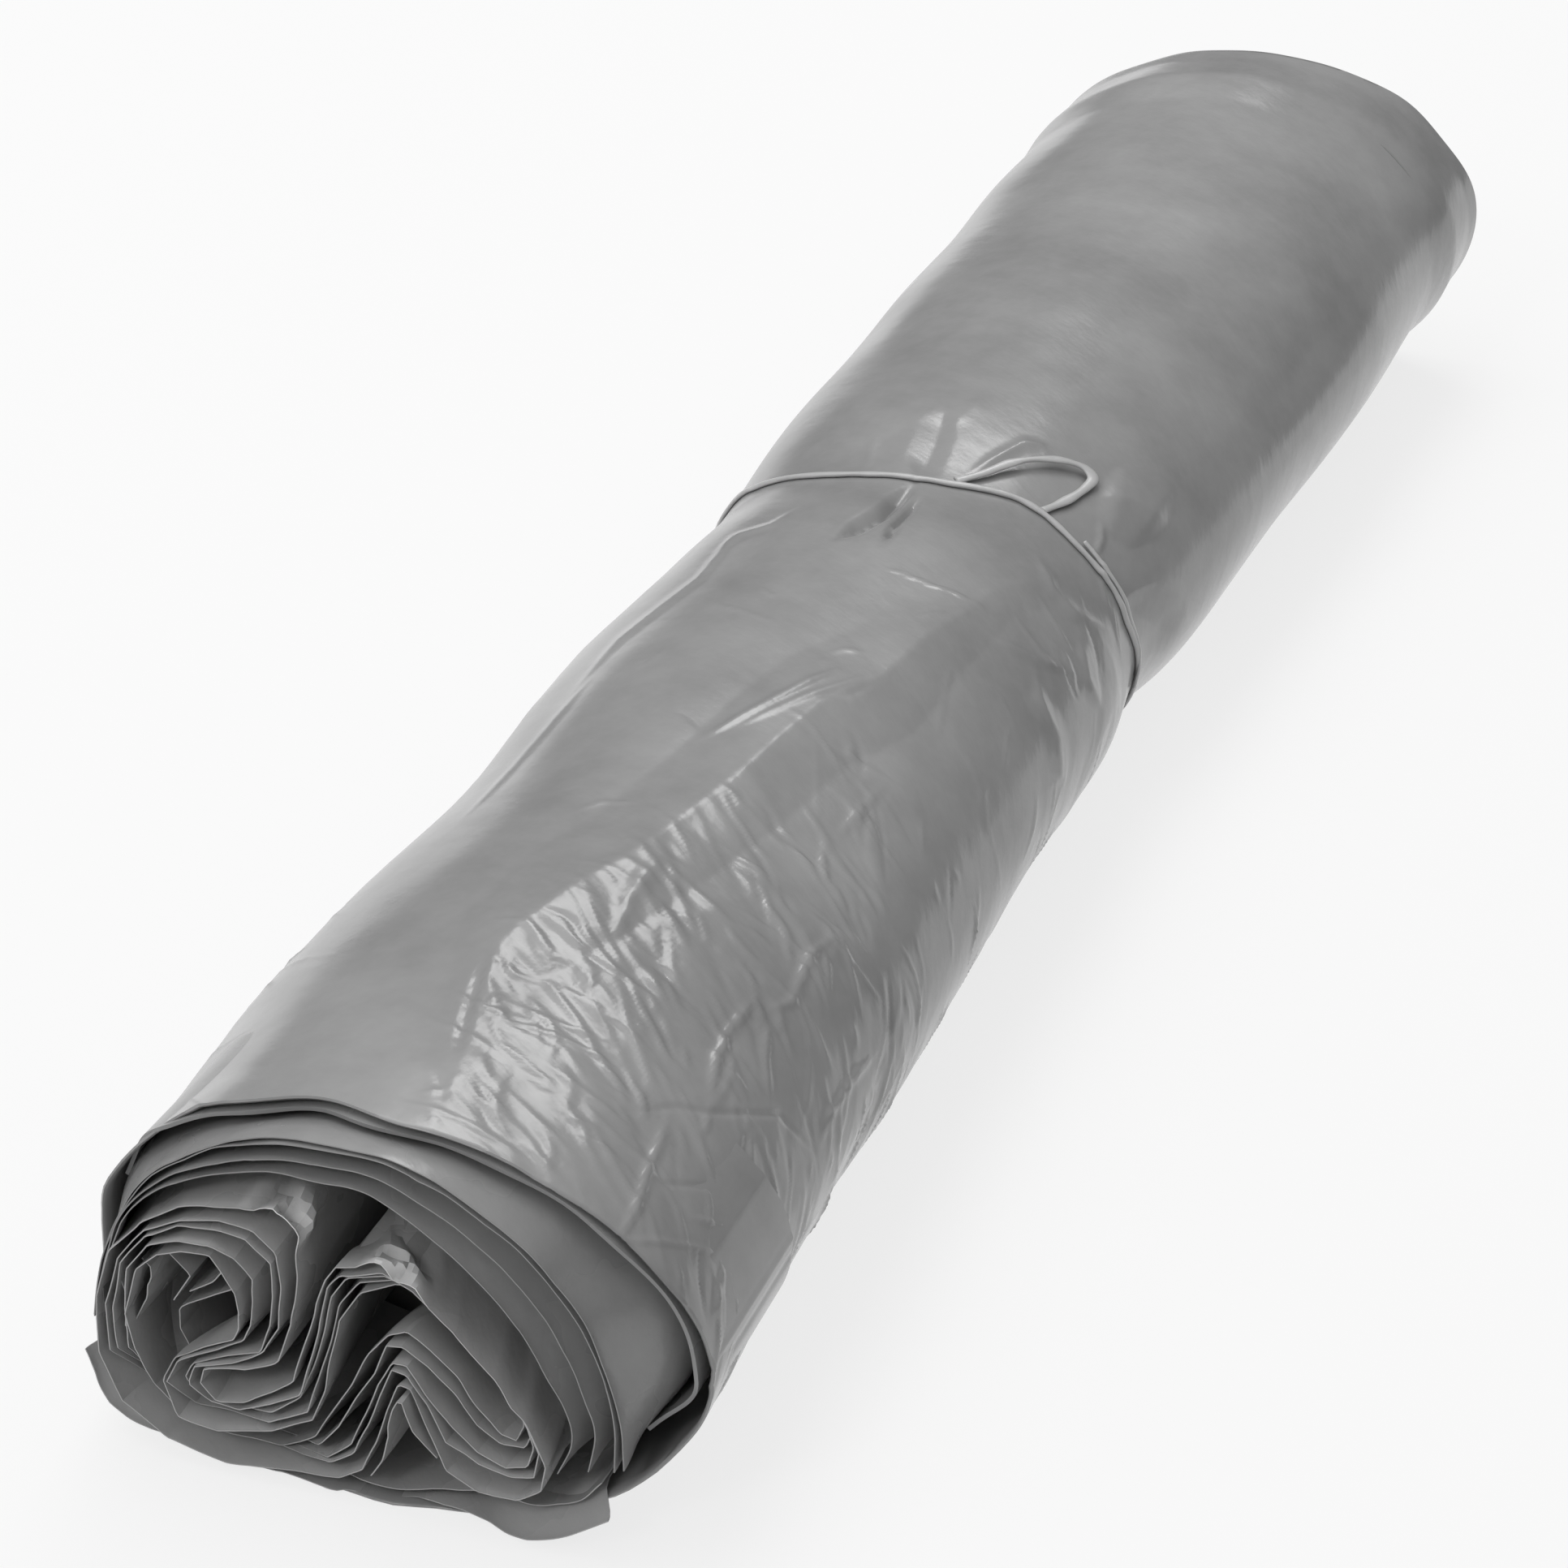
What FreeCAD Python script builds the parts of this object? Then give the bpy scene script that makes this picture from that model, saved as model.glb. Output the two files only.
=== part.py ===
import FreeCAD, Part

import math
import os
from types import SimpleNamespace

# A roll of bin bags that lies along X on the floor, tied round its waist.
# X = 0 is the middle of the length, the end that shows its folded turns is at -X, and Z = 0 is the floor.

V = FreeCAD.Vector

# Driving dimensions in millimetres: alias, value, meaning.
SIZES = (
    ("roll_length", 300.0, "overall length"),
    ("near_width", 64.5, "width of the outer wrap at its near rim"),
    ("near_height", 40.6, "height of the outer wrap at its near rim"),
    ("near_shift", -1.2, "middle of the near rim along Y"),
    ("far_width", 67.6, "width of the outer wrap at its far rim"),
    ("far_height", 44.4, "height of the outer wrap at its far rim"),
    ("far_shift", 0.0, "middle of the far rim along Y"),
    ("shoulder_width", 59.4, "width where the film has come back out beside the band"),
    ("shoulder_height", 39.4, "height where the film has come back out beside the band"),
    ("waist_width", 57.5, "width of the film under the band"),
    ("waist_height", 37.2, "height of the film under the band"),
    ("waist_place", 2.0, "place of the band along X"),
    ("waist_shift", 1.1, "middle of the waist along Y"),
    ("neck_reach", 10.0, "distance in which the film comes back out from the band"),
    ("gather_depth", 3.2, "depth of the gathers beside the band"),
    ("gather_reach", 24.0, "distance in which the gathers fade out"),
    ("flat_sink", 0.8, "how far the oval is pressed flat on the floor"),
    ("low_fullness", 3.6, "how square the oval is at its lower +Y corner, where 2 is an ellipse"),
    ("wrap_wall", 1.0, "thickness of the bundle of film in the outer wrap"),
    ("turn_wall", 0.9, "thickness of the bundle of film in each folded turn"),
    ("near_setback", 5.5, "how far the wrap's near rim stands behind the turns"),
    ("near_depth", 19.0, "how deep the near end is open between its turns"),
    ("far_setback", 0.5, "how far the turns stand behind the wrap's far rim"),
    ("far_depth", 16.0, "how deep the far end is open between its turns"),
    ("turn_step", 0.6, "how far each turn stands behind the one outside it"),
    ("band_width", 1.6, "width of the band along X"),
    ("band_wall", 0.8, "thickness of the band"),
    ("band_gap", 0.3, "clearance between the band and the film under it"),
    ("floor_gap", 0.2, "clearance between the band and the floor"),
    ("loop_place", -11.0, "middle of the band's loop along Y, from the middle of the waist"),
    ("loop_scale", 1.0, "size of the loop against its drawn outline"),
    ("loop_wall", 1.0, "width of the strip that makes the loop"),
    ("loop_tilt", 11.0, "how far the loop leans up from the film, in degrees"),
)

# Corners round each section of the skin, and how the depth of the gathers runs round it.
CORNERS = 40
GATHER_WANDER = 1.7
GATHER_MEAN = 0.6
GATHER_SWING = 0.4

# Sharpest corner of a fold line that keeps its full wall, as the cosine of half its turn.
SHARPEST_CORNER = 0.6

# Places of the sections on each side of the waist: distances in neck reaches, then shares of the rest.
NECK_STEPS = (0.3, 0.7, 1.2, 2.0, 3.2)
REST_STEPS = (0.2, 0.45, 0.72)

# Clear room inside the wrap at the end where the fold lines were drawn.
DRAWN_WIDTH = 62.5
DRAWN_HEIGHT = 38.6
DRAWN_SHIFT = -1.2
DRAWN_FLOOR = 1.0

# Fold lines of the near end as (y, z), seen from the near end with +Y to the left.
# The outer turn is a round arch from the lower left over the top to the lower right.
OUTER_TURN = (
    (22.0, 3.0), (25.4, 6.4), (28.2, 11.2), (28.2, 16.5), (27.0, 22.0), (23.6, 28.6), (19.0, 33.3),
    (13.4, 36.6), (7.9, 38.0), (1.3, 38.8), (-5.2, 38.7), (-11.5, 36.9), (-17.6, 32.7), (-22.2, 28.0),
    (-24.8, 22.9), (-26.4, 16.5), (-26.2, 11.6), (-25.4, 8.8),
)

# The second turn runs inside the outer one, with more room on the right.
SECOND_TURN = (
    (22.6, 26.2), (19.4, 29.9), (15.4, 32.2), (10.2, 34.2), (6.4, 35.1), (2.3, 34.9), (-2.6, 35.0),
    (-7.7, 33.1), (-12.4, 29.4), (-17.7, 23.9), (-20.9, 18.4), (-22.1, 14.0), (-21.6, 10.6), (-21.0, 8.6),
)

# The buckled turn goes up the left wall, over the left lobe, down the valley, round a hook under the
# left lobe, up the valley's other wall, over the right lobe, back along the floor over a narrow arch.
BUCKLED_TURN = (
    (26.2, 10.5), (26.2, 16.5), (24.6, 22.0), (21.0, 26.2), (16.6, 28.8), (12.0, 30.0), (8.0, 30.9),
    (4.8, 29.0), (4.7, 24.6), (5.4, 19.0), (7.2, 14.6), (10.6, 12.6), (15.0, 11.4), (15.4, 9.8),
    (13.8, 8.2), (10.8, 8.8), (7.8, 10.8), (5.6, 12.6), (4.2, 16.0), (3.0, 20.6), (1.8, 25.0),
    (0.8, 26.8), (-3.6, 27.8), (-6.2, 26.2), (-10.9, 22.8), (-15.0, 18.8), (-17.8, 14.6), (-19.8, 10.4),
    (-19.4, 7.6), (-17.0, 6.0), (-13.0, 5.8), (-9.8, 7.2), (-8.0, 11.4), (-6.4, 15.2), (-5.2, 15.4),
    (-3.9, 12.0), (-2.8, 8.0), (-1.2, 4.4), (1.4, 3.0), (6.6, 2.4), (13.0, 1.6), (19.6, 2.2), (24.2, 5.2),
)

# The inner turn follows the buckled one from inside.
INNER_TURN = (
    (22.6, 11.0), (23.2, 15.5), (22.0, 20.5), (19.6, 23.6), (16.6, 24.6), (13.2, 24.9), (11.6, 23.6),
    (10.6, 21.4), (10.5, 19.4), (10.9, 17.0), (12.2, 15.0), (15.0, 13.2), (18.6, 11.2), (19.4, 9.2),
    (17.6, 5.8), (13.4, 5.2), (8.2, 6.6), (3.8, 8.8), (2.5, 11.6), (1.4, 16.4), (0.2, 20.6), (-1.2, 23.6),
    (-4.0, 24.4), (-6.6, 23.6), (-10.4, 20.4), (-13.6, 17.4), (-15.6, 14.8), (-17.0, 12.6), (-16.6, 11.0),
    (-14.6, 11.2), (-12.6, 13.8), (-10.4, 17.0), (-7.8, 19.0), (-5.4, 20.1), (-3.4, 19.6), (-1.8, 16.6),
    (0.0, 13.2), (2.0, 9.2), (4.8, 5.8), (8.8, 3.8), (13.6, 3.0), (18.6, 3.6), (21.4, 6.6),
)

# The innermost end of the film curls up inside the left lobe.
COIL_TURN = (
    (21.0, 12.6), (19.6, 15.2), (16.4, 16.6), (13.8, 18.2), (13.6, 20.4), (15.6, 22.0), (18.6, 21.8),
    (19.4, 19.6), (17.4, 18.8),
)

# Each turn with its line, whether it is closed, and how many steps it stands back.
TURNS = (
    (OUTER_TURN, False, 0),
    (SECOND_TURN, False, 1),
    (BUCKLED_TURN, True, 2),
    (INNER_TURN, True, 3),
    (COIL_TURN, False, 4),
)

# The band's drawn loop as (along the band, out along X), with its two feet on the band.
LOOP_LINE = (
    (-4.0, 0.0), (-3.4, 5.0), (-0.4, 10.0), (3.4, 13.2), (6.6, 13.2), (7.4, 11.0), (6.2, 6.0), (4.2, 0.0),
)
LOOP_SINK = 0.3


def fill_sheet(doc):
    """Write the driving dimensions into a spreadsheet, one alias a row."""
    sheet = doc.addObject("Spreadsheet::Sheet", "Sizes")
    for row, (alias, value, meaning) in enumerate(SIZES, start=1):
        sheet.set(f"A{row}", alias)
        sheet.set(f"B{row}", str(value))
        sheet.set(f"C{row}", meaning)
        sheet.setAlias(f"B{row}", alias)
    doc.recompute()
    return sheet


def read_sheet(sheet):
    """Give the sheet's values by name."""
    return SimpleNamespace(**{alias: float(sheet.get(alias)) for alias, _, _ in SIZES})


def skin_section(size, x, inset=0.0):
    """Give the corners of the skin at x, or of a copy set in by a wall."""
    near_rim = -size.roll_length / 2 + size.near_setback
    far_rim = size.roll_length / 2
    away = x - size.waist_place
    if away < 0:
        share = away / (near_rim - size.waist_place)
        end = (size.near_width, size.near_height, size.near_shift)
    else:
        share = away / (far_rim - size.waist_place)
        end = (size.far_width, size.far_height, size.far_shift)
    neck = math.exp(-(away / size.neck_reach) ** 2)
    width = size.shoulder_width + (end[0] - size.shoulder_width) * share
    height = size.shoulder_height + (end[1] - size.shoulder_height) * share
    width += (size.waist_width - size.shoulder_width) * neck
    height += (size.waist_height - size.shoulder_height) * neck
    middle = size.waist_shift + (end[2] - size.waist_shift) * share ** 2
    sink = size.flat_sink * (1 - neck)
    lift = (size.band_wall + size.band_gap + size.floor_gap) * neck
    half_height = (height + sink) / 2
    gather = size.gather_depth * (1 - neck) * math.exp(-abs(away) / size.gather_reach)
    fullness = 2 + (size.low_fullness - 2) * (1 - neck) ** 2
    corners = []
    for k in range(CORNERS):
        angle = 2 * math.pi * k / CORNERS
        across, up = math.sin(angle), math.cos(angle)
        if across > 0 > up:
            across, up = across ** (2 / fullness), -(-up) ** (2 / fullness)
        furrow = (k % 2) * gather * (GATHER_MEAN + GATHER_SWING * math.sin(GATHER_WANDER * k))
        y = middle + (width / 2 - inset - furrow) * across
        z = lift - sink + half_height + (half_height - inset - furrow) * up
        corners.append(V(x, y, z))
    return corners


def straight_loft(sections):
    """Join closed sections by straight strips into a solid."""
    wires = [Part.makePolygon(corners + corners[:1]) for corners in sections]
    return Part.makeLoft(wires, True, True)


def skin_places(size):
    """Give the places along X of the skin's sections."""
    near_rim = -size.roll_length / 2 + size.near_setback
    places = [size.waist_place]
    for rim, side in ((near_rim, -1), (size.roll_length / 2, 1)):
        neck_end = size.waist_place + side * NECK_STEPS[-1] * size.neck_reach
        places += [size.waist_place + side * step * size.neck_reach for step in NECK_STEPS]
        places += [neck_end + step * (rim - neck_end) for step in REST_STEPS]
        places.append(rim)
    return sorted(places)


def build_skin(size):
    """The rolled bags as one closed form, before their ends are opened."""
    return straight_loft([skin_section(size, x) for x in skin_places(size)])


def build_hollow(size, side):
    """The room inside the outer wrap at one end, out past its rim."""
    if side < 0:
        floor = -size.roll_length / 2 + size.near_depth
        rim = -size.roll_length / 2 + size.near_setback
    else:
        floor = size.roll_length / 2 - size.far_depth
        rim = size.roll_length / 2
    past = rim + side * size.wrap_wall
    rings = [[V(x, p.y, max(p.z, size.wrap_wall)) for p in skin_section(size, x, size.wrap_wall)]
             for x in (floor, rim)]
    rings.append([V(past, p.y, p.z) for p in rings[-1]])
    return straight_loft(rings)


def side_points(points, closed, reach):
    """Shift a line of (y, z) points sideways, with each corner kept sharp up to a limit."""
    shifted = []
    count = len(points)
    for k, (y, z) in enumerate(points):
        before = points[k - 1] if closed or k > 0 else points[k]
        after = points[(k + 1) % count] if closed or k < count - 1 else points[k]
        first = V(0, y - before[0], z - before[1])
        second = V(0, after[0] - y, after[1] - z)
        normals = [V(0, -v.z, v.y).normalize() for v in (first, second) if v.Length > 0]
        middle = (normals[0] + normals[-1]).normalize()
        lean = max(middle.dot(normals[0]), SHARPEST_CORNER)
        shifted.append(V(0, y, z) + middle * (reach / lean))
    return shifted


def strip_face(points, closed, wall):
    """A strip of even thickness along a line, as a flat face across X."""
    one = side_points(points, closed, wall / 2)
    other = side_points(points, closed, -wall / 2)
    if not closed:
        corners = one + other[::-1]
        return Part.Face(Part.makePolygon(corners + corners[:1]))
    faces = [Part.Face(Part.makePolygon(side + side[:1])) for side in (one, other)]
    faces.sort(key=lambda face: face.Area)
    return faces[1].cut(faces[0]).Faces[0]


def fit_line(size, points, side):
    """Fit a drawn fold line into the room inside the wrap at one end."""
    if side < 0:
        width, height, middle = size.near_width, size.near_height, size.near_shift
    else:
        width, height, middle = size.far_width, size.far_height, size.far_shift
    across = (width - 2 * size.wrap_wall) / DRAWN_WIDTH
    up = (height - 2 * size.wrap_wall) / DRAWN_HEIGHT
    return [(middle + (y - DRAWN_SHIFT) * across, size.wrap_wall + (z - DRAWN_FLOOR) * up)
            for y, z in points]


def build_turns(size, side):
    """The folded turns that stand in one end, rooted in the solid roll behind them."""
    half = size.roll_length / 2
    depth, back = (size.near_depth, 0.0) if side < 0 else (size.far_depth, size.far_setback)
    root = side * (half - depth - size.wrap_wall)
    strips = []
    for points, closed, steps in TURNS:
        tip = side * (half - back - steps * size.turn_step)
        face = strip_face(fit_line(size, points, side), closed, size.turn_wall)
        face.translate(V(root, 0, 0))
        strips.append(face.extrude(V(tip - root, 0, 0)))
    return Part.makeCompound(strips)


def add_feature(doc, name, shape):
    """Put a shape into the document as an object of its own."""
    feature = doc.addObject("Part::Feature", name)
    feature.Shape = shape
    feature.Placement = FreeCAD.Placement()
    return feature


def add_floor_block(doc):
    """A block under the floor, longer and wider than the roll, that leaves its flat spot."""
    block = doc.addObject("Part::Box", "FloorBlock")
    block.setExpression("Length", "2 * Sizes.roll_length")
    block.setExpression("Width", "2 * Sizes.far_width")
    block.setExpression("Height", "2 * Sizes.flat_sink")
    block.setExpression("Placement.Base.x", "-Sizes.roll_length")
    block.setExpression("Placement.Base.y", "-Sizes.far_width")
    block.setExpression("Placement.Base.z", "-2 * Sizes.flat_sink")
    return block


def build_bag_roll(doc, size):
    """All the bags of the roll as one solid: the wrap, the roll inside it and the turns at both ends."""
    solid = doc.addObject("Part::Cut", "FlatSpot")
    solid.Base = add_feature(doc, "Skin", build_skin(size))
    solid.Tool = add_floor_block(doc)
    for name, side in (("Near", -1), ("Far", 1)):
        opened = doc.addObject("Part::Cut", name + "Opened")
        opened.Base = solid
        opened.Tool = add_feature(doc, name + "Hollow", build_hollow(size, side))
        solid = opened
    doc.recompute()
    roll = doc.addObject("Part::MultiFuse", "BagRoll")
    turns = []
    for name, side in (("Near", -1), ("Far", 1)):
        for k, strip in enumerate(build_turns(size, side).Solids, start=1):
            turns.append(add_feature(doc, f"{name}Turn{k}", strip))
    roll.Shapes = [solid] + turns
    roll.Refine = False
    roll.Label = "bag_roll"
    return roll


def add_oval(doc, name, reach):
    """An oval disc round the waist, reach further out than the film, as long as the band is wide."""
    oval = doc.addObject("Part::Ellipse", name + "Line")
    oval.setExpression("MajorRadius", f"Sizes.waist_width / 2 + {reach}")
    oval.setExpression("MinorRadius", f"Sizes.waist_height / 2 + {reach}")
    oval.Placement.Rotation = FreeCAD.Rotation(V(1, 1, 1), 120)
    oval.setExpression("Placement.Base.x", "Sizes.waist_place")
    oval.setExpression("Placement.Base.y", "Sizes.waist_shift")
    oval.setExpression(
        "Placement.Base.z",
        "Sizes.band_wall + Sizes.band_gap + Sizes.floor_gap + Sizes.waist_height / 2")
    disc = doc.addObject("Part::Extrusion", name)
    disc.Base = oval
    disc.DirMode = "Custom"
    disc.Dir = V(1, 0, 0)
    disc.Solid = True
    disc.Symmetric = True
    disc.setExpression("LengthFwd", "Sizes.band_width")
    return disc


def build_loop(size):
    """The band's small drawn loop: a strip that lies beside the band, leaning up from the film."""
    reach = size.band_gap + size.band_wall
    half_width = size.waist_width / 2 + reach
    half_height = size.waist_height / 2 + reach
    lean = math.asin(size.loop_place / half_width)
    foot = V(size.waist_place,
             size.waist_shift + size.loop_place,
             reach + size.floor_gap + size.waist_height / 2 + half_height * math.cos(lean))
    along = V(0, -half_width * math.cos(lean), half_height * math.sin(lean)).normalize()
    tilt = math.radians(size.loop_tilt)
    across = along.cross(V(1, 0, 0)).normalize()
    if across.z < 0:
        across = across * -1
    out = V(math.cos(tilt), 0, 0) + across * math.sin(tilt)
    up = (across * math.cos(tilt) - V(math.sin(tilt), 0, 0)).normalize()
    line = [(u * size.loop_scale, v * size.loop_scale) for u, v in LOOP_LINE]
    face = strip_face(line, False, size.loop_wall)
    frame = FreeCAD.Matrix(
        up.x, along.x, out.x, foot.x - up.x * LOOP_SINK,
        up.y, along.y, out.y, foot.y - up.y * LOOP_SINK,
        up.z, along.z, out.z, foot.z - up.z * LOOP_SINK,
        0, 0, 0, 1)
    return face.extrude(V(size.band_wall, 0, 0)).transformGeometry(frame)


def build_tie_band(doc, size):
    """The thin band round the waist with its loop, as one solid."""
    ring = doc.addObject("Part::Cut", "BandRing")
    ring.Base = add_oval(doc, "BandOutside", "Sizes.band_gap + Sizes.band_wall")
    ring.Tool = add_oval(doc, "BandInside", "Sizes.band_gap")
    band = doc.addObject("Part::Fuse", "TieBand")
    band.Base = ring
    band.Tool = add_feature(doc, "BandLoop", build_loop(size))
    band.Label = "tie_band"
    return band


def check_document(doc, parts):
    """Stop if any object failed or any part isn't one sound solid."""
    for item in doc.Objects:
        if "Invalid" in item.State or "Error" in item.State:
            raise RuntimeError(f"{item.Name} failed to build")
    for part in parts:
        if part.Shape.isNull() or not part.Shape.isValid() or len(part.Shape.Solids) != 1:
            raise RuntimeError(f"{part.Label} isn't one sound solid")


def main():
    doc = FreeCAD.newDocument("bin_bag_roll")
    size = read_sheet(fill_sheet(doc))
    parts = [build_bag_roll(doc, size), build_tie_band(doc, size)]
    doc.recompute()
    check_document(doc, parts)
    os.makedirs("parts", exist_ok=True)
    for part in parts:
        part.Shape.exportStep(f"parts/{part.Label}.step")


main()
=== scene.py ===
import math

import bpy
import numpy as np
from mathutils import Matrix, Vector
from mathutils.bvhtree import BVHTree
from mathutils.geometry import delaunay_2d_cdt


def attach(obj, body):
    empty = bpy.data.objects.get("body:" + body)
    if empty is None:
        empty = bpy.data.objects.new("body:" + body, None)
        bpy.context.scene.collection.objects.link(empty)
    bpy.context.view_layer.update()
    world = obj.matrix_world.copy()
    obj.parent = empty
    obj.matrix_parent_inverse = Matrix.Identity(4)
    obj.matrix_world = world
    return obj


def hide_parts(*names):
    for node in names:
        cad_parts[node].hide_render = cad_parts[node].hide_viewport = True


# A tied roll of grey bin bags on a pale floor. Shapes are worked out in millimetres and made in metres.
# X runs along the roll from its near end (-X), Z = 0 is the floor.

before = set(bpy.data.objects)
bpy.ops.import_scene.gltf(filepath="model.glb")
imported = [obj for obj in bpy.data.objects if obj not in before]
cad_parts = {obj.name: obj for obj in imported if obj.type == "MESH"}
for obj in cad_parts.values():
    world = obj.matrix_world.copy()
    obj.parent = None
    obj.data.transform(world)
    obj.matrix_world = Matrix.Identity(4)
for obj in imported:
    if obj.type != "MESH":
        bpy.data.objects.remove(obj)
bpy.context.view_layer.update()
MM = 0.001

# The camera: its place, where it looks, and its focal length in pixels of the square photograph.
PHOTO_SIZE = 1932
FOCAL_PIXELS = 4800
SENSOR = 36.0
CAMERA_PLACE = np.array((-397.9, -142.5, 238.9))
CAMERA_HEADING = math.radians(21.91)
CAMERA_DROP = math.radians(29.77)

# The form of the skin, as in the construction.
ROLL_END = 150.0
NEAR_RIM = -144.5
WAIST_PLACE = 2.0
WAIST_SHIFT = 1.1
NEAR_SIZE = (64.5, 40.6, -1.2)
FAR_SIZE = (67.6, 44.4, 0.0)
SHOULDER = (59.4, 39.4)
WAIST = (57.5, 37.2)
NECK_REACH = 10.0
BAND_LIFT = 1.3
FLAT_SINK = 0.8
LOW_FULLNESS = 3.6
WRAP_WALL = 1.0

# Grid of the skin: points round it, and along its near and far half, which meet under the band.
SKIN_ROUND = 244
NEAR_ROWS = 392
FAR_ROWS = 200
MEAN_RADIUS = 27.0

# Where the crumpled field begins on the near half: places along the roll and degrees from the top towards +Y.
RIDGE_PLACES = (-135.0, -126.0, -115.0, -105.0, -95.0, -75.0, -57.0, -48.0, -36.0, -29.0, -18.0, -11.0)
RIDGE_DEGREES = (-6.0, -2.0, 1.0, -3.0, -8.0, -15.0, -20.0, -26.0, -29.0, -31.0, -35.0, -42.0)

# Film thickness at the rims, and how deep the ends are open.
FILM = 0.12
RIM_FILM = 0.4
NEAR_DEPTH = 21.0
FAR_DEPTH = 16.0

# Fold lines of the near end as (y, z), seen from the near end with +Y to the left.
OUTER_ARCH = (
    (27.8, 12.4), (27.2, 16.5), (25.6, 21.6), (22.4, 28.0), (18.4, 32.5), (13.0, 36.1), (7.9, 38.0),
    (1.3, 38.8), (-5.2, 38.9), (-11.5, 36.9), (-17.6, 32.7), (-22.2, 28.0), (-24.8, 22.9), (-26.4, 16.5),
    (-26.6, 10.4),
)
INNER_ARCH = (
    (26.2, 13.6), (25.9, 18.0), (24.6, 22.0), (22.7, 26.3), (18.9, 29.9), (15.4, 31.9),
    (10.2, 34.2), (6.4, 35.1), (2.3, 34.9), (-2.6, 35.1), (-7.7, 33.1), (-12.4, 29.4), (-17.7, 23.9),
    (-20.7, 18.4), (-22.1, 14.2), (-21.7, 11.8), (-20.6, 9.1),
)
BUCKLED_LINE = (
    (26.2, 10.5), (26.2, 16.5), (24.6, 22.0), (21.0, 26.2), (16.6, 28.8), (12.0, 30.0), (8.0, 30.9),
    (4.8, 29.0), (4.7, 24.6), (5.4, 19.0), (7.2, 14.6), (10.6, 12.6), (15.0, 11.4), (15.4, 9.8),
    (13.8, 8.2), (10.8, 8.8), (7.8, 10.8), (5.6, 12.6), (4.6, 16.0), (3.2, 20.6), (1.8, 25.0),
    (0.8, 26.8), (-3.6, 27.8), (-6.2, 26.2), (-10.9, 22.8), (-15.0, 18.8), (-17.8, 14.6), (-19.8, 10.4),
    (-19.4, 7.6), (-17.0, 6.0), (-13.0, 5.8), (-9.8, 7.2), (-8.0, 11.4), (-6.4, 15.2), (-5.2, 15.4),
    (-3.9, 12.0), (-2.8, 8.0), (-1.2, 4.4), (1.4, 3.0), (6.6, 2.4), (13.0, 1.6), (19.6, 2.2), (24.2, 5.2),
)
INNER_LINE = (
    (22.6, 11.0), (23.2, 15.5), (22.0, 20.5), (19.6, 23.6), (16.6, 24.6), (13.2, 24.9), (11.6, 23.6),
    (10.6, 21.4), (10.5, 19.4), (10.9, 17.0), (12.2, 15.0), (15.0, 13.2), (18.6, 11.2), (19.4, 9.2),
    (17.6, 5.8), (13.4, 5.2), (8.2, 6.6), (3.8, 8.8), (2.9, 11.6), (2.0, 16.4), (0.8, 20.6), (-1.0, 23.6),
    (-4.0, 24.4), (-6.6, 23.6), (-10.4, 20.4), (-13.6, 17.4), (-15.6, 14.8), (-17.0, 12.6), (-16.6, 11.4),
    (-14.6, 11.6), (-12.6, 13.8), (-10.4, 17.0), (-7.8, 19.0), (-5.4, 20.1), (-3.4, 19.6), (-1.4, 16.6),
    (0.4, 13.2), (2.4, 9.2), (4.8, 5.8), (8.8, 3.8), (13.6, 3.0), (18.6, 3.4), (21.6, 6.6),
)
COIL_LINE = (
    (21.0, 12.6), (19.6, 15.2), (16.4, 16.6), (13.8, 18.2), (13.6, 20.4), (15.6, 22.0), (18.6, 21.8),
    (19.4, 19.6), (17.4, 18.8),
)
# How much further back each point of the innermost buckled turn lies than the outermost one's.
BUCKLED_BACK = (
    0.5, 0.0, -0.2, -0.5, -0.8, -0.9, -0.9, -0.8, -0.6, 0.0, 0.8, 0.8, 0.5, -0.5, -0.8, -0.8, -0.6, 0.0, 0.8,
    1.0, 1.0, 1.5, 2.6, 4.0, 4.2, 4.2, 3.5, 2.2, 1.5, 1.5, 1.5, 1.2, 1.2, 1.2, 1.2, 1.2, 1.2, 1.5, 2.0, 2.2, 2.2,
    2.2, 1.5,
)
# The last folded strips in the middle of the left lobe, and how far back each one's rim lies.
COIL_FOLDS = (
    (((9.8, 20.7), (14.4, 17.8), (18.4, 15.5), (19.4, 14.7), (19.5, 12.4), (18.5, 10.2), (17.4, 7.0)), 2.6),
    (((18.4, 24.4), (17.7, 24.0), (13.6, 22.7), (13.4, 21.5), (14.9, 19.5), (17.7, 17.6)), 1.6),
    (((19.9, 22.6), (19.1, 22.0), (17.0, 20.1), (19.2, 16.6)), 1.0),
    (((21.9, 21.0), (21.0, 20.3), (21.0, 19.1), (21.4, 18.3), (21.5, 16.9), (23.6, 13.0)), 0.4),
    (((23.9, 18.6), (23.5, 17.5), (23.5, 16.3), (23.8, 13.3)), -0.2),
)
# Crumpled peaks of the outermost buckled turn as (y, z, reach, height). Their faces also get a painted highlight:
# the colour is turned near white there.
PEAKS = ((6.4, 30.4, 4.4, 1.7), (-5.4, 27.4, 4.4, 1.7))
FLAP_LINE = ((-1.6, 4.0), (-2.9, 6.4), (-3.9, 9.8), (-5.1, 13.0), (-5.8, 14.3), (-6.9, 11.2), (-9.0, 8.2))
FLOOR_LINE = (
    (29.0, 9.0), (27.0, 4.6), (23.0, 1.7), (16.0, 0.75), (6.0, 0.9), (-3.0, 0.6), (-10.0, 1.3),
    (-16.0, 0.8), (-21.0, 2.2), (-25.5, 5.4),
)
FLOOR_LINE_TWO = (
    (22.0, 1.9), (14.0, 1.2), (4.0, 1.7), (-6.0, 2.2), (-12.0, 3.6), (-17.0, 3.2), (-21.5, 4.6), (-24.0, 7.6),
)

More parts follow.
